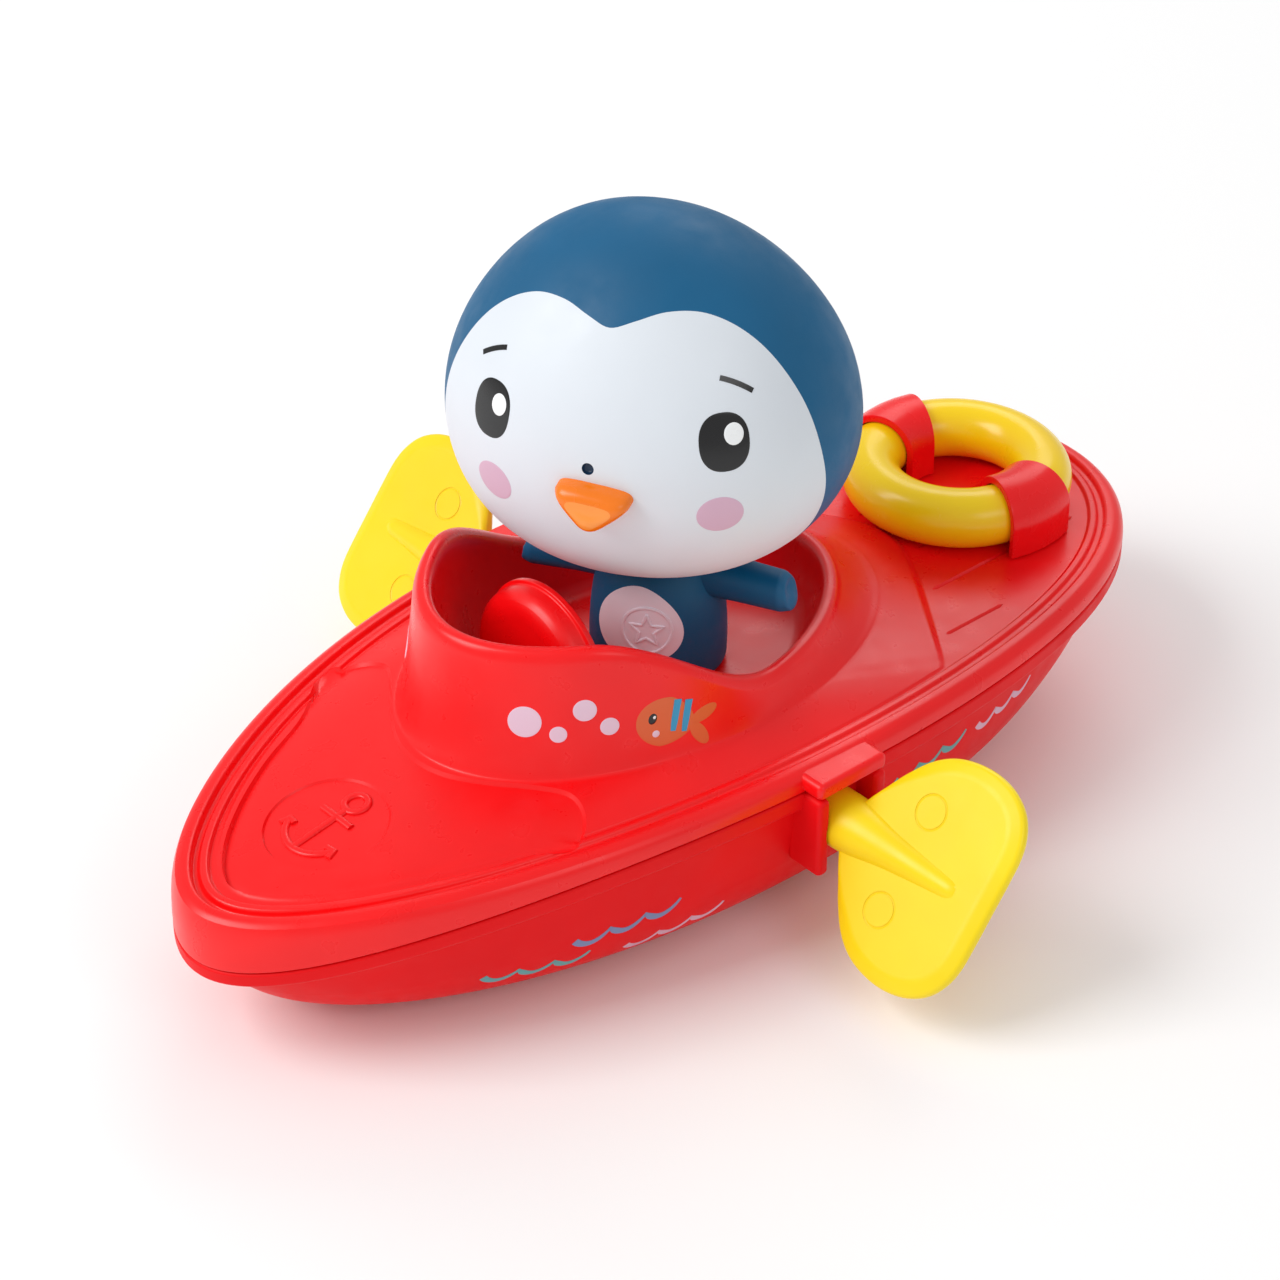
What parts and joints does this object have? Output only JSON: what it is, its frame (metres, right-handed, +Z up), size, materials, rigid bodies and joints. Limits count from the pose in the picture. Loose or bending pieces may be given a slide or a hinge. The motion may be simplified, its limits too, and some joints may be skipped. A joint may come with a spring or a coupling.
{
  "type": "toy boat",
  "caption": "Wind-up bath boat with side paddles, a raised open cockpit holding a lift-out penguin figure, and a lifebuoy clipped to the aft deck.",
  "frame": {"origin": "centre of the overall box in X and Y, at the keel's flat bottom", "axes": "+X towards the bow, +Y to port, +Z up"},
  "size_m": [0.2216, 0.177, 0.1298],
  "materials": {
    "deck": "smooth gloss",
    "hull": "smooth gloss",
    "helm_console": "smooth gloss",
    "paddle": "smooth gloss",
    "lifebuoy": "smooth gloss",
    "strap": "smooth gloss",
    "vinyl": "soft matte vinyl",
    "steel": "bright",
    "spring_steel": "blued spring strip",
    "gear": "natural acetal",
    "motor_case": "moulded satin",
    "seal": "matte"
  },
  "bodies": {
    "boat": {"hull": "hull", "deck": "deck", "helm_console": "helm_console", "lifebuoy": "lifebuoy", "lifebuoy_strap_port": "strap", "lifebuoy_strap_starboard": "strap", "axle_seal_port": "seal", "axle_seal_starboard": "seal", "idler_pin": "steel", "spring_arbor": "steel", "motor_case_port": "motor_case", "motor_case_starboard": "motor_case", "case_screw_1": "steel", "case_screw_2": "steel", "hull_screw_1": "steel", "hull_screw_2": "steel", "hull_screw_3": "steel", "hull_screw_4": "steel"},
    "paddle_wheels": {"paddle_port": "paddle", "paddle_starboard": "paddle", "axle": "steel", "axle_pinion": "gear"},
    "idler": {"idler_gear": "gear"},
    "barrel": {"spring_barrel": "gear", "mainspring": "spring_steel"},
    "figure": {"figure_body": "vinyl"},
    "head": {"figure_head": "vinyl"}
  },
  "joints": [
    {"name": "paddle_spin", "type": "hinge", "parent": "boat", "child": "paddle_wheels", "pos_m": [0.002, 0, 0.026], "axis": [0, 1, 0], "continuous": true},
    {"name": "idler_spin", "type": "hinge", "parent": "boat", "child": "idler", "pos_m": [-0.0088, 0, 0.01951], "axis": [0, 1, 0], "continuous": true},
    {"name": "barrel_spin", "type": "hinge", "parent": "boat", "child": "barrel", "pos_m": [-0.0231, 0, 0.01781], "axis": [0, 1, 0], "continuous": true},
    {"name": "figure_lift", "type": "slide", "parent": "boat", "child": "figure", "axis": [0, 0, 1], "range_m": [0, 0.06]},
    {"name": "head_turn", "type": "hinge", "parent": "figure", "child": "head", "pos_m": [0.0015, 0, 0.09], "axis": [0, 0, 1], "range_deg": [-45, 45]}
  ],
  "couplings": [
    {"joint": "idler_spin", "follows": "paddle_spin", "ratio": -0.4},
    {"joint": "barrel_spin", "follows": "paddle_spin", "ratio": 0.13333}
  ]
}
